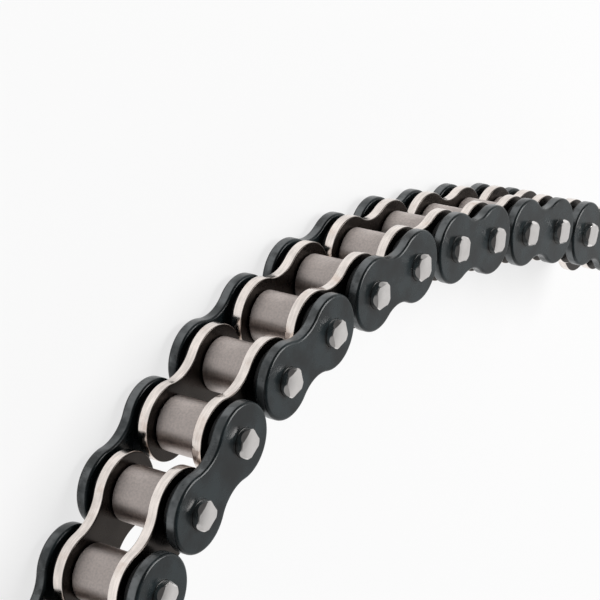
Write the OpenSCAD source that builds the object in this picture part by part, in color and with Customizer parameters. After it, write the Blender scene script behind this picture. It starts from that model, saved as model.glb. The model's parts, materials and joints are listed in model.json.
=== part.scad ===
// Sealed motorcycle roller chain: an open strand that lies on its side.
// +Z is the axis of every pin, and the origin is the centre of the first bush.
// The first link runs along +X, and each hinge turns the next link towards +Y.
// There is an inner link at each end, whose free bush takes a connecting pin.

/* [Links] */
// Distance between neighbouring pin centres
pitch = 12.7; // [12.4:0.1:16]
// Clear width between the two plates of an inner link
inner_width = 7.94; // [5:0.02:12]
// Number of outer links, with one more inner link
outer_links = 7; // [1:1:7]

/* [Plates] */
// Height of an inner plate across its round ends
inner_plate_h = 12.1; // [11:0.05:12.2]
// Height of an inner plate at its waist
inner_waist_h = 8.6; // [7.5:0.1:9.5]
// Thickness of an inner plate
inner_plate_t = 1.75; // [1:0.05:2.6]
// Radius of the rounded edge all round an inner plate
inner_edge = 0.2; // [0.1:0.05:0.45]
// Height of an outer plate across its round ends
outer_plate_h = 12; // [11:0.05:12.2]
// Height of an outer plate at its waist
outer_waist_h = 8.4; // [7.5:0.1:9.5]
// Thickness of an outer plate
outer_plate_t = 2; // [1:0.05:2.6]
// Radius of the rounded edge all round an outer plate
outer_edge = 0.45; // [0.1:0.05:0.45]

/* [Pins, bushes and rollers] */
// Diameter of a pin
pin_d = 4.5; // [3.6:0.05:4.8]
// How far a pin end stands out of its outer plate
pin_stand = 1.3; // [0.8:0.05:1.6]
// Chamfer at the rim of a pin end
pin_chamfer = 0.13; // [0.05:0.01:0.25]
// Height of the low dome on a pin end
pin_dome = 0.12; // [0.05:0.01:0.2]
// Depth of the flats that are struck on the rim of a pin end
stake_depth = 0.45; // [0.05:0.05:0.5]
// Length of those flats along the pin
stake_h = 0.6; // [0.2:0.05:0.6]
// Number of flats on each pin end
stakes = 4; // [3:1:6]
// Wall of a bush
bush_wall = 0.7; // [0.4:0.05:0.9]
// How far a bush stands out of its inner plate
bush_stand = 0.45; // [0.2:0.05:0.6]
// Chamfer round the outside of a bush end
bush_chamfer = 0.15; // [0.05:0.05:0.2]
// Outer diameter of a roller
roller_d = 8.51; // [7.6:0.01:10.5]
// Rounding at the rim of a roller
roller_edge = 0.3; // [0.1:0.05:0.4]

/* [Seals and clearances] */
// Gap between an inner and an outer plate, which the seal ring fills
seal_gap = 1.25; // [0.9:0.05:2]
// Outer diameter of a seal ring
seal_d = 9.4; // [8.8:0.1:10.4]
// Depth of the grooves between the four lips of a seal ring
seal_groove = 0.15; // [0.05:0.01:0.2]
// Play between a seal ring and the inner plate that turns beside it
seal_play = 0.05; // [0.03:0.01:0.1]
// Radial play between a seal ring and the bush end inside it
seal_bore_play = 0.25; // [0.1:0.05:0.3]
// Radial running clearance between a pin and its bush
pin_clear = 0.04; // [0.02:0.01:0.08]
// Radial running clearance between a bush and its roller
roller_clear = 0.05; // [0.02:0.01:0.08]
// Play between a roller end and the inner plate beside it
roller_play = 0.15; // [0.05:0.05:0.3]

/* [Rest pose] */
// Bend at each hinge of the nearly straight run
run_bend = 4; // [0:0.5:20]
// Number of hinges on the nearly straight run
run_hinges = 4; // [0:1:8]
// Bend at the hinge where the run meets the curve
lift_bend = 1; // [0:0.5:20]
// Bend at each hinge of the first, wider part of the curve
ease_bend = 6.5; // [0:0.5:20]
// Number of hinges on the wider part of the curve
ease_hinges = 4; // [0:1:5]
// Bend at each of the remaining hinges
wrap_bend = 8.5; // [0:0.5:20]

/* [Hidden] */
$fn = 96;
inner_links = outer_links + 1;
rollers = 2 * inner_links;

bush_bore = pin_d + 2 * pin_clear;
bush_d = bush_bore + 2 * bush_wall;
roller_bore = bush_d + 2 * roller_clear;
roller_len = inner_width - 2 * roller_play;
seal_bore = bush_d + 2 * seal_bore_play;
seal_t = seal_gap - seal_play;
seal_wall = (seal_d - seal_bore) / 2;
seal_lip = 0.3 * min(seal_t, seal_wall);

// Heights above the middle plane, from the middle outwards
inner_plate_z = inner_width / 2;
bush_end_z = inner_plate_z + inner_plate_t + bush_stand;
outer_plate_z = inner_plate_z + inner_plate_t + seal_gap;
pin_end_z = outer_plate_z + outer_plate_t + pin_stand;

// Extra length of a cutter beyond the faces that it cuts
cut_over = 1;
// How far the arc of the waist reaches into the round ends, so that they cross cleanly
waist_overlap = 0.06;

// Bend at joint k, where joint 1 is the free bush at the origin
function bend(k) =
    k <= run_hinges + 1 ? run_bend :
    k == run_hinges + 2 ? lift_bend :
    k <= run_hinges + 2 + ease_hinges ? ease_bend :
    wrap_bend;

// Direction of the link that starts at joint k
function heading(k) = k <= 1 ? 0 : heading(k - 1) + bend(k);

// Place of joint k in the middle plane
function joint_at(k) =
    k <= 1 ? [0, 0, 0] :
    joint_at(k - 1) + pitch * [cos(heading(k - 1)), sin(heading(k - 1)), 0];

// Moves a link drawn from the origin along +X to the link that starts at joint k
module at_link(k) {
    translate(joint_at(k))
        rotate([0, 0, heading(k)])
            children();
}

// Copies a piece to both joints of a link
module at_both_joints() {
    for (x = [0, pitch])
        translate([x, 0, 0])
            children();
}

// Copies a piece to the front and the back of the chain
module on_both_sides() {
    for (side = [0, 1])
        mirror([0, 0, side])
            children();
}

// Rectangle from the axis out to r with its two outer corners rounded
module round_section(r, t, edge) {
    square([r - edge, t]);
    translate([0, edge])
        square([r, t - 2 * edge]);
    for (y = [edge, t - edge])
        translate([r - edge, y])
            circle(edge);
}

// Section of the waist cutter, which flares out where the plate's edge is round
module flare_section(r, t, edge) {
    difference() {
        translate([0, -cut_over])
            square([r + edge, t + 2 * cut_over]);
        for (y = [edge, t - edge])
            translate([r + edge, y])
                circle(edge);
        translate([r, edge])
            square([2 * edge, t - 2 * edge]);
    }
}

// Link plate with two round ends and a waist, lying on z = 0
module link_plate(h, waist_h, t, hole_d, edge) {
    end_r = h / 2;
    waist = waist_h / 2;
    half = pitch / 2;
    meet_r = end_r - waist_overlap;
    waist_r = (waist * waist + half * half - meet_r * meet_r) / (2 * (meet_r - waist));
    waist_y = waist + waist_r;
    difference() {
        union() {
            at_both_joints()
                rotate_extrude()
                    round_section(end_r, t, edge);
            difference() {
                linear_extrude(t)
                    polygon([[0, 0], [half, -waist_y], [pitch, 0], [half, waist_y]]);
                for (side = [-1, 1])
                    translate([half, side * waist_y, 0])
                        rotate_extrude()
                            flare_section(waist_r, t, edge);
            }
        }
        at_both_joints()
            translate([0, 0, -cut_over])
                cylinder(h = t + 2 * cut_over, d = hole_d);
    }
}

// Ring about the z axis from z = 0 up, with all its corners rounded
module round_ring(outer_d, bore_d, h, edge) {
    rotate_extrude()
        translate([bore_d / 2, 0])
            round_bar((outer_d - bore_d) / 2, h, edge);
}

// Round bar about the z axis that reaches end_z both ways, with a chamfer at each end
module chamfered_bar(r, end_z, chamfer) {
    rotate_extrude()
        polygon([
            [0, -end_z], [r - chamfer, -end_z], [r, chamfer - end_z],
            [r, end_z - chamfer], [r - chamfer, end_z], [0, end_z]
        ]);
}

// Rectangle with four rounded corners
module round_bar(w, h, edge) {
    translate([edge, 0])
        square([w - 2 * edge, h]);
    translate([0, edge])
        square([w, h - 2 * edge]);
    for (x = [edge, w - edge], y = [edge, h - edge])
        translate([x, y])
            circle(edge);
}

// Section of a seal ring with four round lips, whose inner lower corner is the origin
module seal_section() {
    translate([seal_groove, seal_groove])
        square([seal_wall - 2 * seal_groove, seal_t - 2 * seal_groove]);
    for (x = [seal_lip, seal_wall - seal_lip], y = [seal_lip, seal_t - seal_lip])
        translate([x, y])
            circle(seal_lip);
}

// Pin from end to end, with a chamfer, a low dome and struck flats on each end, the first flat
// facing along the link
module pin() {
    r = pin_d / 2;
    face_r = r - pin_chamfer;
    rim_z = pin_end_z - pin_dome;
    difference() {
        rotate_extrude()
            polygon([
                [0, -pin_end_z], [face_r / 2, -pin_end_z], [face_r, -rim_z], [r, pin_chamfer - rim_z],
                [r, rim_z - pin_chamfer], [face_r, rim_z], [face_r / 2, pin_end_z], [0, pin_end_z]
            ]);
        on_both_sides()
            for (turn = [0 : stakes - 1])
                rotate([0, 0, turn * 360 / stakes])
                    translate([r, -r, rim_z - stake_h])
                        rotate([0, -atan(stake_depth / stake_h), 0])
                            cube(pin_d);
    }
}

// Outer plate pressed on the front ends of its two pins
module outer_plate_front(i) {
    color("#2b2f31")
        at_link(2 * i)
            translate([0, 0, outer_plate_z])
                link_plate(outer_plate_h, outer_waist_h, outer_plate_t, pin_d, outer_edge);
}

// Outer plate on the back ends of the same pins
module outer_plate_back(i) {
    color("#2b2f31")
        at_link(2 * i)
            translate([0, 0, -outer_plate_z - outer_plate_t])
                link_plate(outer_plate_h, outer_waist_h, outer_plate_t, pin_d, outer_edge);
}

// Two pins of an outer link
module pins(i) {
    color("#d6d6d4")
        at_link(2 * i)
            at_both_joints()
                pin();
}

// Four seal rings of an outer link, seated on the inside of its plates
module seal_rings(i) {
    color("#141414")
        at_link(2 * i)
            at_both_joints()
                on_both_sides()
                    translate([0, 0, outer_plate_z - seal_t])
                        rotate_extrude()
                            translate([seal_bore / 2, 0])
                                seal_section();
}

// Two plates of an inner link
module inner_plates(i) {
    color("#ddd6cb")
        at_link(2 * i - 1)
            for (z = [inner_plate_z, -inner_plate_z - inner_plate_t])
                translate([0, 0, z])
                    link_plate(inner_plate_h, inner_waist_h, inner_plate_t, bush_d, inner_edge);
}

// Two bushes pressed through the plates of an inner link
module bushes(i) {
    color("#a39d95")
        at_link(2 * i - 1)
            at_both_joints()
                difference() {
                    chamfered_bar(bush_d / 2, bush_end_z, bush_chamfer);
                    cylinder(h = 2 * (bush_end_z + cut_over), d = bush_bore, center = true);
                }
}

// Roller that turns on the bush at joint k
module roller(k) {
    color("#8f8781")
        at_link(k)
            translate([0, 0, -roller_len / 2])
                round_ring(roller_d, roller_bore, roller_len, roller_edge);
}

for (i = [1 : outer_links]) {
    outer_plate_front(i);
    outer_plate_back(i);
    pins(i);
    seal_rings(i);
}
for (i = [1 : inner_links]) {
    inner_plates(i);
    bushes(i);
}
for (k = [1 : rollers]) {
    roller(k);
}
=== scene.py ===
"""Sealed motorcycle chain: modelled and finished pieces for an open strand that lies on its side.

Every link is modelled about its own middle, with the pin axes along Z, and copied to its place
on the strand. All lengths are in metres.
"""

import json
import math

import bmesh
import bpy
from bpy.props import FloatProperty, FloatVectorProperty, IntProperty, PointerProperty
from mathutils import Matrix, Vector


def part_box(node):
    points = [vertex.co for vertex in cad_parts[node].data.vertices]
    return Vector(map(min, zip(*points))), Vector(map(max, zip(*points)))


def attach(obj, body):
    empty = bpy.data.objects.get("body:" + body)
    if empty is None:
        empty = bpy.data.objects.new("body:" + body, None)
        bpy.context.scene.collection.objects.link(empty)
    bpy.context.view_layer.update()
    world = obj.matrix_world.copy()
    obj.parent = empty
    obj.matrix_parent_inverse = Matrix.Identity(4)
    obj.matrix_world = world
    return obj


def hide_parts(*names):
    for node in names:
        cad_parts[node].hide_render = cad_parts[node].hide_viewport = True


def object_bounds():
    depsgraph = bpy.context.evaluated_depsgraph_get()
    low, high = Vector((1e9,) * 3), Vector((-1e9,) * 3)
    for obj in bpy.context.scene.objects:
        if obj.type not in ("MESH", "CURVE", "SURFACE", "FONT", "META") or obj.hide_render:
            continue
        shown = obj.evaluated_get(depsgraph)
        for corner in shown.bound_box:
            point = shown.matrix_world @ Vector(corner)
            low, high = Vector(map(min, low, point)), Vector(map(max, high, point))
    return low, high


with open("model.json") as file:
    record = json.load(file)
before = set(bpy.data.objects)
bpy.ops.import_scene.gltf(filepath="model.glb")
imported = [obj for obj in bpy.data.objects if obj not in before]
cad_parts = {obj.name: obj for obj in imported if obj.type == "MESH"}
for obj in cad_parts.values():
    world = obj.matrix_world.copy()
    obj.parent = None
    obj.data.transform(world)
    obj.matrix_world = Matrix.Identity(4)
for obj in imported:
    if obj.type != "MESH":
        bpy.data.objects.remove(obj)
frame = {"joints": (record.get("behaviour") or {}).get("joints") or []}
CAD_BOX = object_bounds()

bl_info = {
    "name": "Motorcycle Chain",
    "version": (1, 0, 0),
    "blender": (4, 5, 0),
    "location": "3D View > Sidebar > Chain",
    "description": "Models an open strand of sealed roller chain and its studio stage",
    "category": "Add Mesh",
}

MM = 0.001
# Vertices closer than this are one vertex
WELD = 0.002 * MM
# Faces that meet at less than this angle are shaded as one surface
SMOOTH_ANGLE = math.radians(32)
# Edges that turn by more than this are the rims of a plate
RIM_ANGLE = math.radians(60)
# A face is flat, and not part of a rounded edge, where its normal's Z is above this
FLAT = 0.999
# Width of the narrow band round a plate's flat faces that keeps them shaded flat, in edge radii
FLAT_BAND = 0.25
# Faces across each rounded edge
PLATE_EDGE_STEPS = 5
HOLE_EDGE_STEPS = 2
RING_EDGE_STEPS = 4
# Faces from the middle of a pin end to its rim, and flats struck on each end
DOME_STEPS = 4
STAKES = 4
# Attribute of a plate that is 1 on its rims and 0 on its flat faces, which on the inner plates get painted
# shade
RIM_MARK = "rim"
# Lean that marks only the straight band of a rim, and lean that marks half of its rounded edges too
BAND_LEAN = math.radians(14)
EDGE_LEAN = math.radians(45)
# The key softbox: where it stands from the strand's middle, and its width and height
KEY_OFFSET = Vector((-0.43, -0.60, 1.23))
KEY_WIDTH = 1.1
KEY_HEIGHT = 0.8
# Where each light of the room fades in, by the X, Y or Z of the direction to it
WALL_FADE = (-0.10, -0.70)
WALL_TOP_FADE = (0.85, 0.50)
FRONT_FADE = (0.10, 0.70)
FRONT_TOP_FADE = (0.45, 0.10)
SIDE_FADE = (0.30, 0.75)
SIDE_TOP_FADE = (0.80, 0.50)


def strand_joints():
    """Centres of the strand's joints in order, taken from the rollers that turn on them."""
    spins = {joint["name"]: Vector(joint["pos_m"]) for joint in frame["joints"]}
    count = sum(name.startswith("roller_spin_") for name in spins)
    return [spins[f"roller_spin_{number}"] for number in range(1, count + 1)]


JOINTS = strand_joints()
OUTER_LINKS = len(JOINTS) // 2 - 1
INNER_LINKS = len(JOINTS) // 2
PITCH = (JOINTS[1] - JOINTS[0]).length
HALF = PITCH / 2


def top_of(node):
    """Height of a node's highest face above the middle plane of the strand."""
    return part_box(node)[1].z


def bottom_of(node):
    """Height of a node's lowest face above the middle plane of the strand."""
    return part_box(node)[0].z


def length(name, description, millimetres):
    """A size that a user can change, given in millimetres and kept in metres."""
    return FloatProperty(name=name, description=description, default=millimetres * MM,
                         min=0, precision=5, subtype="DISTANCE", unit="LENGTH")


def angle(name, description, degrees):
    """An angle that a user can change, given in degrees and kept in radians."""
    return FloatProperty(name=name, description=description, default=math.radians(degrees),
                         subtype="ANGLE", unit="ROTATION")


def brightness(name, description, default):
    """A brightness that a user can change, where 1 is white."""
    return FloatProperty(name=name, description=description, default=default, min=0)


def colour(name, description, default):
    """A colour that a user can change."""
    return FloatVectorProperty(name=name, description=description, default=default,
                               size=3, min=0, max=1, subtype="COLOR")


class ChainSizes(bpy.types.PropertyGroup):
    """Sizes of the link pieces."""

    outer_height: length("Outer plate height", "Height of an outer plate across its round ends", 12)
    outer_waist: length("Outer plate waist", "Height of an outer plate at its waist", 8.4)
    inner_height: length("Inner plate height", "Height of an inner plate across its round ends", 12.1)
    inner_waist: length("Inner plate waist", "Height of an inner plate at its waist", 8.6)
    inner_thickness: length("Inner plate thickness", "Thickness of an inner plate", 1.75)
    outer_edge: length("Outer plate edge", "Radius of the rounded edge round an outer plate", 0.45)
    inner_edge: length("Inner plate edge", "Radius of the rounded edge round an inner plate", 0.2)
    hole_edge: length("Hole edge", "Rounding at the rim of a plate's holes", 0.12)
    pin_diameter: length("Pin diameter", "Diameter of a pin", 4.5)
    pin_chamfer: length("Pin chamfer", "Chamfer at the rim of a pin end", 0.13)
    pin_dome: length("Pin dome", "Height of the low dome on a pin end", 0.12)
    stake_depth: length("Stake depth", "Depth of the flats that are struck on a pin end", 0.45)
    stake_length: length("Stake length", "Length of those flats along the pin", 0.6)
    bush_bore: length("Bush bore", "Bore of a bush", 4.58)
    bush_diameter: length("Bush diameter", "Outer diameter of a bush", 5.98)
    bush_edge: length("Bush edge", "Rounding at the ends of a bush", 0.15)
    roller_bore: length("Roller bore", "Bore of a roller", 6.08)
    roller_diameter: length("Roller diameter", "Outer diameter of a roller", 8.51)
    roller_edge: length("Roller edge", "Rounding at the rim of a roller", 0.3)
    seal_bore: length("Seal bore", "Bore of a seal ring", 6.48)
    seal_diameter: length("Seal diameter", "Outer diameter of a seal ring", 9.4)
    seal_thickness: length("Seal thickness", "Thickness of a seal ring", 1.2)
    seal_groove: length("Seal groove", "Depth of the groove between a seal ring's lips", 0.15)
    turn_steps: IntProperty(name="Turn steps", description="Faces round each turned piece",
                            default=96, min=24, max=256)


class ChainFinish(bpy.types.PropertyGroup):
    """Colours and gloss of the finishes."""

    black: colour("Black plate", "Satin black of the outer plates", (0.010, 0.0155, 0.0175))
    black_rim: colour("Black plate rim", "Burnished steel on the rims of the outer plates",
                      (0.19, 0.20, 0.205))
    nickel: colour("Nickel plate", "Bright nickel of the inner plates", (0.86, 0.79, 0.74))
    nickel_straw: colour("Nickel straw", "Straw tone in patches on the rims of the inner plates",
                         (0.60, 0.46, 0.38))
    # painted shade: the inner plates' flat faces are nickel like their rims, and this dark colour stands
    # in for the shade and dark reflections between the plates
    nickel_face_painted_shade: colour("Nickel plate face", "Darker satin faces of the inner plates",
                        (0.055, 0.047, 0.042))
    pin_steel: colour("Pin steel", "Bright ground steel of the pins", (0.86, 0.83, 0.81))
    roller_steel: colour("Roller steel", "Grey-brown satin steel of the rollers", (0.61, 0.545, 0.515))
    bush_steel: colour("Bush steel", "Hardened steel of the bushes", (0.48, 0.46, 0.44))
    rubber: colour("Seal rubber", "Black rubber of the seal rings", (0.012, 0.012, 0.012))


class ChainStage(bpy.types.PropertyGroup):
    """Camera, lamps and floor."""

    camera_place: FloatVectorProperty(name="Camera place", description="Where the camera stands",
                                      default=(0.368622, 0.036587, 0.161368), subtype="TRANSLATION",
                                      unit="LENGTH", precision=5)
    camera_heading: angle("Camera heading", "Direction of view about Z, from +X", -178.065)
    camera_dip: angle("Camera dip", "How far the camera looks down", 31.435)
    camera_roll: angle("Camera roll", "How far the picture's top leans over", -103.074)
    camera_lens: FloatProperty(name="Lens", description="Focal length on a 36 mm sensor",
                               default=120.086, min=10, subtype="DISTANCE_CAMERA", unit="CAMERA")
    floor_size: length("Floor size", "Width of the floor", 8000)
    floor_colour: colour("Floor colour", "Pale floor", (0.93, 0.93, 0.93))
    floor_lift: FloatProperty(name="Floor lift", default=0.75, min=0, max=1,
                              description="Share of plain white in the floor as it is seen")
    wall_strength: brightness("Wall strength", "Brightness of the white wall on the -X side", 0.66)
    front_strength: brightness("Front strength", "Brightness low down on the +X side", 0.2)
    side_strength: brightness("Side strength", "Brightness low down on the +Y side", 0.3)
    room_strength: brightness("Room strength", "Brightness of the rest of the room", 0.07)
    key_power: FloatProperty(name="Key power", description="Power of the key softbox",
                             default=20.0, min=0, subtype="POWER", unit="POWER")


class Wire:
    """One output of a material's nodes. Arithmetic on it adds Math nodes."""

    def __init__(self, finish, socket):
        self.finish = finish
        self.socket = socket

    def __add__(self, other):
        return self.finish.math("ADD", self, other)

    def __radd__(self, other):
        return self.finish.math("ADD", other, self)

    def __sub__(self, other):
        return self.finish.math("SUBTRACT", self, other)

    def __rsub__(self, other):
        return self.finish.math("SUBTRACT", other, self)

    def __mul__(self, other):
        return self.finish.math("MULTIPLY", self, other)

    def __rmul__(self, other):
        return self.finish.math("MULTIPLY", other, self)


class Finish:
    """A material, or the world, that is built up node by node."""

    def __init__(self, owner):
        self.owner = owner
        owner.use_nodes = True
        self.tree = owner.node_tree
        self.tree.nodes.clear()

    def node(self, kind, settings=None, sockets=None, output=0):
        """Adds a node, with its settings first and then the values or wires of its sockets."""
        made = self.tree.nodes.new(kind)
        for name, value in (settings or {}).items():
            setattr(made, name, value)
        for name, value in (sockets or {}).items():
            if isinstance(value, Wire):
                self.tree.links.new(value.socket, made.inputs[name])
            else:
                made.inputs[name].default_value = value
        return Wire(self, made.outputs[output]) if made.outputs else None

    def math(self, operation, first, second):
        """One Math node."""
        return self.node("ShaderNodeMath", {"operation": operation}, {0: first, 1: second})

    def place(self, scale):
        """Object coordinates, scaled along each axis."""
        point = self.node("ShaderNodeTexCoord", output="Object")
        return self.node("ShaderNodeMapping", None, {"Vector": point, "Scale": scale})

    def noise(self, size, detail, scale=(1, 1, 1)):
        """Noise from 0 to 1 with spots of about the given size, drawn out where the scale is under 1."""
        return self.node("ShaderNodeTexNoise", None,
                         {"Vector": self.place(scale), "Scale": 1 / size, "Detail": detail})

    def fade(self, value, start, end):
        """Goes smoothly from 0 where the value is at the start to 1 where it is at the end."""
        return self.node("ShaderNodeMapRange", {"interpolation_type": "SMOOTHSTEP"},
                         {"Value": value, "From Min": start, "From Max": end})

    def blend(self, factor, first, second):
        """Mixes two colours."""
        # a Mix node's colour sockets share their names with others, so they are given by number
        return self.node("ShaderNodeMix", {"data_type": "RGBA"},
                         {0: factor, 6: first, 7: second}, output=2)

    def bump(self, height, distance, strength):
        """Normal from a height map whose relief is the given distance."""
        return self.node("ShaderNodeBump", None,
                         {"Strength": strength, "Distance": distance, "Height": height})

    def surface(self, sockets):
        """Closes the material with one principled shader."""
        shader = self.node("ShaderNodeBsdfPrincipled", None, sockets)
        self.node("ShaderNodeOutputMaterial", None, {"Surface": shader})
        return self.owner


def new_finish(name):
    """An empty material."""
    return Finish(bpy.data.materials.new(name))


def tint(base, scale):
    """A colour made lighter or darker, with full alpha."""
    return (*(min(1.0, channel * scale) for channel in base), 1.0)


def black_plate_finish(finish):
    """Satin black over steel with slight cloudiness, burnished and mottled on the rims."""
    paint = new_finish("satin_black_plate")
    cloud = paint.fade(paint.noise(4 * MM, 4), 0.3, 0.7)
    peel = paint.noise(0.45 * MM, 2)
    patches = paint.fade(paint.noise(3 * MM, 4), 0.35, 0.65)
    streaks = paint.noise(0.5 * MM, 3, scale=(1, 1, 0.25))
    rim = paint.node("ShaderNodeAttribute", {"attribute_name": RIM_MARK}, output="Fac")
    burnish = rim * (0.1 + 0.6 * patches + 0.3 * streaks)
    black = paint.blend(cloud, tint(finish.black, 0.4), tint(finish.black, 1.6))
    return paint.surface({
        "Base Color": paint.blend(burnish, black, tint(finish.black_rim, 1)),
        "Metallic": 0.9 * burnish,
        "Roughness": 0.20 + 0.08 * cloud + 0.03 * peel + 0.08 * burnish,
        "Specular IOR Level": 0.38,
        "Normal": paint.bump(peel, 0.003 * MM, 0.2),
    })


def nickel_plate_finish(finish):
    """Bright nickel on the rims, with streaks along them and straw-coloured patches, and faces painted
    dark as painted shade for the shade and dark reflections between the plates.
    """
    metal = new_finish("bright_nickel_plate")
    cloud = metal.noise(5 * MM, 3)
    patches = metal.fade(metal.noise(2.2 * MM, 3), 0.3, 0.7)
    straw = metal.fade(metal.noise(3.5 * MM, 4), 0.52, 0.75)
    marks = metal.fade(metal.noise(0.5 * MM, 3, scale=(0.15, 0.15, 1.5)), 0.3, 0.7)
    rim = metal.node("ShaderNodeAttribute", {"attribute_name": RIM_MARK}, output="Fac")
    clean = metal.blend(0.5 * patches + 0.5 * marks, tint(finish.nickel, 0.78), tint(finish.nickel, 1.1))
    bright = metal.blend(0.6 * straw, clean, tint(finish.nickel_straw, 1))
    # painted shade: the flat faces get a dark colour in place of the shade and dark reflections between
    # the plates
    painted_shade_faces = metal.blend(cloud, tint(finish.nickel_face_painted_shade, 0.7), tint(finish.nickel_face_painted_shade, 1.4))
    return metal.surface({
        "Base Color": metal.blend(rim, painted_shade_faces, bright),
        "Metallic": 1.0,
        "Roughness": 0.20 + 0.08 * cloud + 0.08 * marks - 0.10 * rim,
        "Normal": metal.bump(marks, 0.003 * MM, 0.2),
    })


def pin_finish(finish):
    """Bright ground steel with a little unevenness where the ends were struck."""
    metal = new_finish("bright_pin_steel")
    cloud = metal.noise(1.6 * MM, 3)
    grain = metal.noise(0.25 * MM, 2)
    return metal.surface({
        "Base Color": metal.blend(cloud, tint(finish.pin_steel, 0.86), tint(finish.pin_steel, 1.06)),
        "Metallic": 1.0,
        "Roughness": 0.10 + 0.10 * cloud + 0.05 * grain,
        "Normal": metal.bump(0.7 * cloud + 0.3 * grain, 0.012 * MM, 0.4),
    })


def roller_finish(finish):
    """Satin grey-brown steel with fine lines round the roller, which spread its gloss lengthwise."""
    metal = new_finish("satin_roller_steel")
    cloud = metal.noise(4 * MM, 3)
    lines = metal.noise(1.0 * MM, 3, scale=(0.08, 0.08, 4))
    grain = metal.fade(metal.noise(0.35 * MM, 3), 0.3, 0.7)
    mottle = 0.4 * cloud + 0.35 * grain + 0.25 * lines
    return metal.surface({
        "Base Color": metal.blend(mottle, tint(finish.roller_steel, 0.62),
                                  tint(finish.roller_steel, 1.34)),
        "Metallic": 1.0,
        "Roughness": 0.38 + 0.08 * cloud + 0.06 * lines + 0.06 * grain,
        "Anisotropic": 0.8,
        "Anisotropic Rotation": 0.25,
        "Normal": metal.bump(0.5 * lines + 0.5 * grain, 0.006 * MM, 0.4),
    })


def bush_finish(finish):
    """Hardened steel with a ground look."""
    metal = new_finish("hardened_bush_steel")
    cloud = metal.noise(2 * MM, 3)
    lines = metal.noise(0.8 * MM, 3, scale=(0.1, 0.1, 8))
    return metal.surface({
        "Base Color": metal.blend(cloud, tint(finish.bush_steel, 0.85), tint(finish.bush_steel, 1.1)),
        "Metallic": 1.0,
        "Roughness": 0.28 + 0.15 * lines,
        "Normal": metal.bump(lines, 0.005 * MM, 0.4),
    })


def seal_finish(finish):
    """Black rubber with a dull, slightly greasy skin."""
    rubber = new_finish("black_seal_rubber")
    cloud = rubber.noise(1.5 * MM, 3)
    grain = rubber.noise(0.15 * MM, 2)
    return rubber.surface({
        "Base Color": rubber.blend(cloud, tint(finish.rubber, 0.8), tint(finish.rubber, 1.4)),
        "Roughness": 0.40 + 0.25 * cloud,
        "Normal": rubber.bump(grain, 0.004 * MM, 0.4),
    })


def begin(name):
    """A new piece in edit mode that is one selected vertex at the origin."""
    bpy.ops.object.select_all(action="DESELECT")
    bpy.ops.mesh.primitive_plane_add(size=MM)
    piece = bpy.context.object
    piece.name = name
    bpy.ops.object.mode_set(mode="EDIT")
    bpy.ops.mesh.select_mode(type="VERT")
    bpy.ops.mesh.select_all(action="SELECT")
    bpy.ops.mesh.merge(type="CENTER")
    return piece


def line_by(step):
    """Draws a straight line on from the selected vertex."""
    bpy.ops.mesh.extrude_region_move(TRANSFORM_OT_translate={"value": step})


def arc_by(angle, centre, steps):
    """Draws an arc about Z on from the selected vertex, where a positive angle runs counterclockwise."""
    bpy.ops.mesh.spin(steps=steps, angle=angle, center=centre, axis=(0, 0, -1))


def weld():
    """Merges vertices that lie on each other and turns the faces outwards."""
    bpy.ops.mesh.select_all(action="SELECT")
    bpy.ops.mesh.remove_doubles(threshold=WELD)
    bpy.ops.mesh.normals_make_consistent(inside=False)


def select(piece, kind, wanted):
    """Selects the edges or the faces of a piece in edit mode that pass a test."""
    bpy.ops.mesh.select_mode(type=kind)
    bpy.ops.mesh.select_all(action="DESELECT")
    shape = bmesh.from_edit_mesh(piece.data)
    candidates = shape.edges if kind == "EDGE" else shape.faces
    chosen = [element for element in candidates if wanted(element)]
    if not chosen:
        raise RuntimeError(f"{piece.name} has nothing to select")
    for element in chosen:
        element.select_set(True)
    bmesh.update_edit_mesh(piece.data)


def repeat_by(step):
    """Copies all of the piece in edit mode by a step."""
    bpy.ops.mesh.select_all(action="SELECT")
    bpy.ops.mesh.duplicate_move(TRANSFORM_OT_translate={"value": step})


def move_by(step):
    """Moves all of the piece in edit mode by a step."""
    bpy.ops.mesh.select_all(action="SELECT")
    bpy.ops.transform.translate(value=step)


def apply_modifier(piece, kind, **settings):
    """Adds a modifier and applies it."""
    modifier = piece.modifiers.new(kind.lower(), kind)
    for name, value in settings.items():
        setattr(modifier, name, value)
    bpy.ops.object.modifier_apply(modifier=modifier.name)


def put_in_order(mesh):
    """Sorts vertices, faces and first corners, because the mesh tools vary their order from run to run."""
    points = [tuple(vertex.co) for vertex in mesh.vertices]
    order = sorted(range(len(points)), key=points.__getitem__)
    rank = {old: new for new, old in enumerate(order)}
    faces = []
    for face in mesh.polygons:
        corners = [rank[vertex] for vertex in face.vertices]
        first = corners.index(min(corners))
        faces.append(corners[first:] + corners[:first])
    mesh.clear_geometry()
    mesh.from_pydata([points[old] for old in order], [], sorted(faces))


def shade(piece):
    """Leaves edit mode and shades the piece smooth, apart from its sharp edges."""
    bpy.ops.object.mode_set(mode="OBJECT")
    put_in_order(piece.data)
    bpy.ops.object.shade_smooth_by_angle(angle=SMOOTH_ANGLE)


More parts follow.
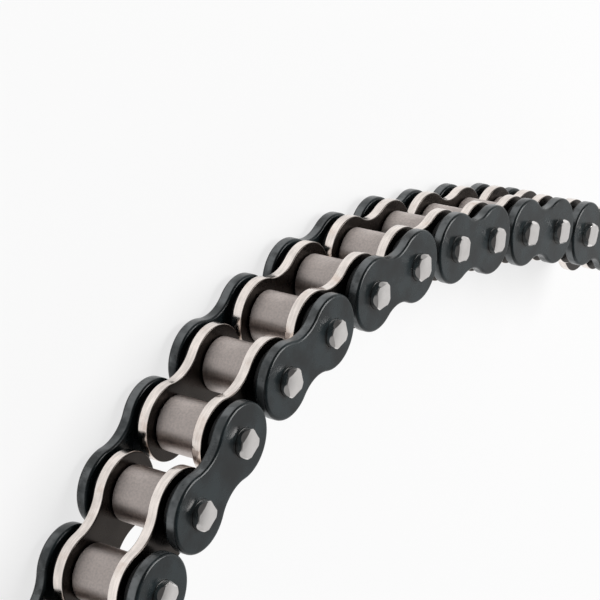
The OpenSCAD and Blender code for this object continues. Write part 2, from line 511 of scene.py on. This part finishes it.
def model_plate(name, height, waist, thickness, hole, edge, hole_edge, steps):
    """A link plate about its middle, from z = 0 up, with two round ends, a waist and two holes."""
    end_r = height / 2
    low = waist / 2
    hole_r = hole / 2
    end_steps = steps // 3
    waist_steps = steps // 6
    # the waist's arc touches the round ends, so its radius follows from the two heights
    waist_r = (HALF ** 2 + low ** 2 - end_r ** 2) / (2 * (end_r - low))
    meet = math.atan2(low + waist_r, HALF)
    joint = (-HALF, 0, 0)
    piece = begin(name)
    bpy.ops.transform.translate(value=(-HALF - end_r, 0, 0))
    arc_by(meet - math.pi, joint, end_steps)
    arc_by(math.pi / 2 - meet, (0, low + waist_r, 0), waist_steps)
    line_by((0, -low, 0))
    line_by((hole_r - HALF, 0, 0))
    arc_by(math.pi, joint, end_steps)
    line_by((hole_r - end_r, 0, 0))
    weld()
    bpy.ops.mesh.edge_face_add()
    bpy.ops.object.mode_set(mode="OBJECT")
    apply_modifier(piece, "MIRROR", use_axis=(True, True, False), merge_threshold=WELD)
    bpy.ops.object.mode_set(mode="EDIT")
    bpy.ops.mesh.select_all(action="SELECT")
    bpy.ops.mesh.extrude_region_move(TRANSFORM_OT_translate={"value": (0, 0, thickness)})
    weld()

    def at_hole(line):
        middle = (line.verts[0].co + line.verts[1].co) / 2
        return math.hypot(abs(middle.x) - HALF, middle.y) < hole_r + edge

    def is_rim(line):
        return line.is_manifold and line.calc_face_angle() > RIM_ANGLE

    select(piece, "EDGE", lambda line: is_rim(line) and at_hole(line))
    bpy.ops.mesh.bevel(offset=hole_edge, segments=HOLE_EDGE_STEPS, affect="EDGES")
    select(piece, "EDGE", lambda line: is_rim(line) and not at_hole(line))
    bpy.ops.mesh.bevel(offset=edge, segments=PLATE_EDGE_STEPS, affect="EDGES")
    select(piece, "FACE", lambda face: abs(face.normal.z) > FLAT)
    bpy.ops.mesh.inset(thickness=FLAT_BAND * edge)
    return piece


def mark_rims(piece, lean):
    """Marks the rims of a finished plate, where its normals lean towards Z by less than an angle."""
    limit = math.sin(lean)
    values = [float(abs(vertex.normal.z) < limit) for vertex in piece.data.vertices]
    marks = piece.data.attributes.new(RIM_MARK, "FLOAT", "POINT")
    marks.data.foreach_set("value", values)


def model_ring(name, bore, diameter, height, edge, steps, groove=0.0):
    """A ring about Z, centred on the origin, with round corners and an optional groove outside."""
    wall = (diameter - bore) / 2
    piece = begin(name)
    bpy.ops.transform.translate(value=(bore / 2, 0, -height / 2))
    line_by((wall, 0, 0))
    if groove:
        line_by((-groove, 0, height / 2))
        line_by((groove, 0, height / 2))
    else:
        line_by((0, 0, height))
    line_by((-wall, 0, 0))
    line_by((0, 0, -height))
    weld()
    bpy.ops.mesh.edge_face_add()
    bpy.ops.mesh.bevel(offset=edge, segments=RING_EDGE_STEPS, affect="VERTICES")
    bpy.ops.mesh.select_all(action="SELECT")
    bpy.ops.mesh.delete(type="ONLY_FACE")
    bpy.ops.mesh.select_all(action="SELECT")
    bpy.ops.mesh.spin(steps=steps, angle=math.tau, center=(0, 0, 0), axis=(0, 0, 1))
    weld()
    return piece


def model_pin(name, sizes, end):
    """A pin about the Z axis, with a chamfer, a low dome and struck flats on each end."""
    radius = sizes.pin_diameter / 2
    face_r = radius - sizes.pin_chamfer
    rim = end - sizes.pin_dome
    steps = sizes.turn_steps // 2
    piece = begin(name)
    bpy.ops.transform.translate(value=(0, 0, end))
    # the dome is a parabola, so each step drops by the next odd share of its height
    for step in range(DOME_STEPS):
        drop = sizes.pin_dome * (2 * step + 1) / DOME_STEPS ** 2
        line_by((face_r / DOME_STEPS, 0, -drop))
    line_by((sizes.pin_chamfer, 0, -sizes.pin_chamfer))
    line_by((0, 0, sizes.pin_chamfer - rim))
    bpy.ops.mesh.select_all(action="SELECT")
    bpy.ops.mesh.spin(steps=steps, angle=math.tau, center=(0, 0, 0), axis=(0, 0, 1))
    weld()
    lean = sizes.stake_depth / sizes.stake_length
    for number in range(STAKES):
        turn = math.tau * number / STAKES
        out = Vector((math.cos(turn), math.sin(turn), lean))
        foot = Vector((radius * math.cos(turn), radius * math.sin(turn), rim - sizes.stake_length))
        bpy.ops.mesh.select_all(action="SELECT")
        bpy.ops.mesh.bisect(plane_co=foot, plane_no=out, clear_outer=True, use_fill=True)
    bpy.ops.object.mode_set(mode="OBJECT")
    apply_modifier(piece, "MIRROR", use_axis=(False, False, True), merge_threshold=WELD)
    bpy.ops.object.mode_set(mode="EDIT")
    weld()
    return piece


def on_link(number):
    """Carries a piece that is modelled about the middle of a link to link number of the strand."""
    start, end = JOINTS[number - 1], JOINTS[number]
    along = end - start
    return Matrix.Translation((start + end) / 2) @ Matrix.Rotation(math.atan2(along.y, along.x), 4, "Z")


def place_copy(master, name, matrix, body, node):
    """Puts a copy of a modelled piece in its place, where it rides on a body and stands for a node."""
    copy = master.copy()
    copy.data = master.data.copy()
    copy.name = name
    copy.data.name = name
    copy.data.transform(matrix)
    bpy.context.collection.objects.link(copy)
    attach(copy, body)
    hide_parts(node)


def give(piece, material):
    """Gives a piece its one material."""
    piece.data.materials.clear()
    piece.data.materials.append(material)


class CHAIN_OT_outer_plates(bpy.types.Operator):
    """Models the black outer plates, one in front and one behind on each outer link"""

    bl_idname = "chain.outer_plates"
    bl_label = "Outer Plates"
    bl_options = {"REGISTER", "UNDO"}

    def execute(self, context):
        sizes = context.scene.chain_sizes
        base, top = bottom_of("outer_plate_front_1"), top_of("outer_plate_front_1")
        plate = model_plate("outer_plate_master", sizes.outer_height, sizes.outer_waist, top - base,
                            sizes.pin_diameter, sizes.outer_edge, sizes.hole_edge, sizes.turn_steps)
        shade(plate)
        mark_rims(plate, BAND_LEAN)
        give(plate, black_plate_finish(context.scene.chain_finish))
        for number in range(1, OUTER_LINKS + 1):
            for side, height in (("front", base), ("back", -top)):
                matrix = on_link(2 * number) @ Matrix.Translation((0, 0, height))
                place_copy(plate, f"black_plate_{side}_{number}", matrix, f"outer_link_{number}",
                           f"outer_plate_{side}_{number}")
        bpy.data.objects.remove(plate)
        return {"FINISHED"}


class CHAIN_OT_inner_plates(bpy.types.Operator):
    """Models the bright inner plates, a pair on each inner link"""

    bl_idname = "chain.inner_plates"
    bl_label = "Inner Plates"
    bl_options = {"REGISTER", "UNDO"}

    def execute(self, context):
        sizes = context.scene.chain_sizes
        top = top_of("inner_plates_1")
        pair = model_plate("inner_plate_master", sizes.inner_height, sizes.inner_waist,
                           sizes.inner_thickness, sizes.bush_diameter, sizes.inner_edge, sizes.hole_edge,
                           sizes.turn_steps)
        move_by((0, 0, -top))
        repeat_by((0, 0, 2 * top - sizes.inner_thickness))
        shade(pair)
        mark_rims(pair, EDGE_LEAN)
        give(pair, nickel_plate_finish(context.scene.chain_finish))
        for number in range(1, INNER_LINKS + 1):
            place_copy(pair, f"nickel_plates_{number}", on_link(2 * number - 1), f"inner_link_{number}",
                       f"inner_plates_{number}")
        bpy.data.objects.remove(pair)
        return {"FINISHED"}


class CHAIN_OT_pins(bpy.types.Operator):
    """Models the bright pins, two through each outer link"""

    bl_idname = "chain.pins"
    bl_label = "Pins"
    bl_options = {"REGISTER", "UNDO"}

    def execute(self, context):
        pair = model_pin("pin_master", context.scene.chain_sizes, top_of("pins_1"))
        move_by((-HALF, 0, 0))
        repeat_by((PITCH, 0, 0))
        shade(pair)
        give(pair, pin_finish(context.scene.chain_finish))
        for number in range(1, OUTER_LINKS + 1):
            place_copy(pair, f"steel_pins_{number}", on_link(2 * number), f"outer_link_{number}",
                       f"pins_{number}")
        bpy.data.objects.remove(pair)
        return {"FINISHED"}


class CHAIN_OT_seal_rings(bpy.types.Operator):
    """Models the seal rings, four between the plates at each outer link"""

    bl_idname = "chain.seal_rings"
    bl_label = "Seal Rings"
    bl_options = {"REGISTER", "UNDO"}

    def execute(self, context):
        sizes = context.scene.chain_sizes
        seat = top_of("seal_rings_1") - sizes.seal_thickness / 2
        # the lips are rounded by as much as the groove between them is deep
        rings = model_ring("seal_master", sizes.seal_bore, sizes.seal_diameter, sizes.seal_thickness,
                           sizes.seal_groove, sizes.turn_steps, groove=sizes.seal_groove)
        move_by((-HALF, 0, -seat))
        repeat_by((0, 0, 2 * seat))
        repeat_by((PITCH, 0, 0))
        shade(rings)
        give(rings, seal_finish(context.scene.chain_finish))
        for number in range(1, OUTER_LINKS + 1):
            place_copy(rings, f"rubber_rings_{number}", on_link(2 * number), f"outer_link_{number}",
                       f"seal_rings_{number}")
        bpy.data.objects.remove(rings)
        return {"FINISHED"}


class CHAIN_OT_bushes(bpy.types.Operator):
    """Models the bushes, two through each inner link"""

    bl_idname = "chain.bushes"
    bl_label = "Bushes"
    bl_options = {"REGISTER", "UNDO"}

    def execute(self, context):
        sizes = context.scene.chain_sizes
        pair = model_ring("bush_master", sizes.bush_bore, sizes.bush_diameter, 2 * top_of("bushes_1"),
                          sizes.bush_edge, sizes.turn_steps)
        move_by((-HALF, 0, 0))
        repeat_by((PITCH, 0, 0))
        shade(pair)
        give(pair, bush_finish(context.scene.chain_finish))
        for number in range(1, INNER_LINKS + 1):
            place_copy(pair, f"steel_bushes_{number}", on_link(2 * number - 1), f"inner_link_{number}",
                       f"bushes_{number}")
        bpy.data.objects.remove(pair)
        return {"FINISHED"}


class CHAIN_OT_rollers(bpy.types.Operator):
    """Models the rollers, one round the bush at each joint"""

    bl_idname = "chain.rollers"
    bl_label = "Rollers"
    bl_options = {"REGISTER", "UNDO"}

    def execute(self, context):
        sizes = context.scene.chain_sizes
        roller = model_ring("roller_master", sizes.roller_bore, sizes.roller_diameter,
                            2 * top_of("roller_1"), sizes.roller_edge, sizes.turn_steps)
        shade(roller)
        give(roller, roller_finish(context.scene.chain_finish))
        for number, joint in enumerate(JOINTS, start=1):
            place_copy(roller, f"steel_roller_{number}", Matrix.Translation(joint), f"roller_{number}",
                       f"roller_{number}")
        bpy.data.objects.remove(roller)
        return {"FINISHED"}


def floor_finish(stage):
    """Pale floor that shows near white and keeps the shadow."""
    paint = new_finish("pale_floor")
    camera, glossy, through = (paint.node("ShaderNodeLightPath", output=f"Is {ray} Ray")
                               for ray in ("Camera", "Glossy", "Transmission"))
    seen = paint.math("MINIMUM", camera + glossy + through, 1.0)
    lit = paint.node("ShaderNodeBsdfDiffuse", None, {"Color": tint(stage.floor_colour, 1)})
    white = paint.node("ShaderNodeEmission", None, {"Color": (1, 1, 1, 1), "Strength": 1.0})
    mixed = paint.node("ShaderNodeMixShader", None, {0: stage.floor_lift * seen, 1: lit, 2: white})
    paint.node("ShaderNodeOutputMaterial", None, {"Surface": mixed})
    return paint.owner


def add_softbox(name, place, target, width, height, power):
    """An area lamp that faces a point."""
    bpy.ops.object.light_add(type="AREA", location=place)
    lamp = bpy.context.object
    lamp.name = name
    lamp.rotation_euler = (Vector(target) - Vector(place)).to_track_quat("-Z", "Y").to_euler()
    lamp.data.shape = "RECTANGLE"
    lamp.data.size = width
    lamp.data.size_y = height
    lamp.data.energy = power


class CHAIN_OT_stage(bpy.types.Operator):
    """Sets up the floor, the lamps, the world and the camera"""

    bl_idname = "chain.stage"
    bl_label = "Stage"
    bl_options = {"REGISTER", "UNDO"}

    def execute(self, context):
        stage = context.scene.chain_stage
        low, high = (Vector(corner) for corner in CAD_BOX)
        middle = (low + high) / 2
        bpy.ops.object.select_all(action="DESELECT")
        bpy.ops.mesh.primitive_plane_add(size=stage.floor_size, location=(middle.x, middle.y, low.z))
        floor = context.object
        floor.name = "pale_floor"
        give(floor, floor_finish(stage))
        add_softbox("key_softbox", middle + KEY_OFFSET, middle, KEY_WIDTH, KEY_HEIGHT, stage.key_power)
        self.set_world(context.scene, stage)
        self.set_camera(context.scene, stage)
        context.scene.view_settings.view_transform = "Standard"
        return {"FINISHED"}

    def set_world(self, scene, stage):
        """A white wall on the -X side of a dim room, and some light low down on the +X and +Y sides."""
        scene.world = bpy.data.worlds.new("studio_room")
        room = Finish(scene.world)
        way = room.node("ShaderNodeTexCoord", output="Generated")
        along, across, height = (room.node("ShaderNodeSeparateXYZ", None, {"Vector": way}, output=axis)
                                 for axis in "XYZ")
        wall = room.fade(along, *WALL_FADE) * room.fade(height, *WALL_TOP_FADE)
        front = room.fade(along, *FRONT_FADE) * room.fade(height, *FRONT_TOP_FADE)
        side = room.fade(across, *SIDE_FADE) * room.fade(height, *SIDE_TOP_FADE)
        dim = stage.room_strength
        strength = (dim + (stage.wall_strength - dim) * wall + (stage.front_strength - dim) * front
                    + (stage.side_strength - dim) * side)
        light = room.node("ShaderNodeBackground", None, {"Color": (1, 1, 1, 1), "Strength": strength})
        room.node("ShaderNodeOutputWorld", None, {"Surface": light})

    def set_camera(self, scene, stage):
        """The camera at its place, turned by its heading, dip and roll."""
        dip, heading = stage.camera_dip, stage.camera_heading
        view = Vector((math.cos(dip) * math.cos(heading), math.cos(dip) * math.sin(heading),
                       -math.sin(dip)))
        level = view.cross(Vector((0, 0, 1))).normalized()
        upright = level.cross(view)
        up = upright * math.cos(stage.camera_roll) + level * math.sin(stage.camera_roll)
        right = view.cross(up)
        bpy.ops.object.camera_add()
        camera = bpy.context.object
        camera.name = "photo_camera"
        turn = Matrix((right, up, -view)).transposed().to_4x4()
        camera.matrix_world = Matrix.Translation(stage.camera_place) @ turn
        camera.data.lens = stage.camera_lens
        camera.data.clip_start = 10 * MM
        scene.camera = camera


class CHAIN_PT_sidebar(bpy.types.Panel):
    """Lists the chain's pieces and settings"""

    bl_label = "Motorcycle Chain"
    bl_idname = "CHAIN_PT_sidebar"
    bl_space_type = "VIEW_3D"
    bl_region_type = "UI"
    bl_category = "Chain"

    def draw(self, context):
        for operator in OPERATORS:
            self.layout.operator(operator.bl_idname)
        for group in (context.scene.chain_sizes, context.scene.chain_finish, context.scene.chain_stage):
            box = self.layout.box()
            for name in group.bl_rna.properties.keys():
                if name not in ("rna_type", "name"):
                    box.prop(group, name)


OPERATORS = (CHAIN_OT_rollers, CHAIN_OT_bushes, CHAIN_OT_inner_plates, CHAIN_OT_seal_rings,
             CHAIN_OT_outer_plates, CHAIN_OT_pins, CHAIN_OT_stage)
GROUPS = {"chain_sizes": ChainSizes, "chain_finish": ChainFinish, "chain_stage": ChainStage}


def register():
    """Registers the classes and hangs the settings on the scene."""
    for entry in (*GROUPS.values(), *OPERATORS, CHAIN_PT_sidebar):
        bpy.utils.register_class(entry)
    for name, group in GROUPS.items():
        setattr(bpy.types.Scene, name, PointerProperty(type=group))


def unregister():
    """Takes the settings and the classes away again."""
    for name in GROUPS:
        delattr(bpy.types.Scene, name)
    for entry in (CHAIN_PT_sidebar, *reversed(OPERATORS), *reversed(list(GROUPS.values()))):
        bpy.utils.unregister_class(entry)


def main():
    """Builds every piece and the stage."""
    register()
    bpy.ops.chain.rollers()
    bpy.ops.chain.bushes()
    bpy.ops.chain.inner_plates()
    bpy.ops.chain.seal_rings()
    bpy.ops.chain.outer_plates()
    bpy.ops.chain.pins()
    bpy.ops.chain.stage()


if __name__ == "__main__":
    main()
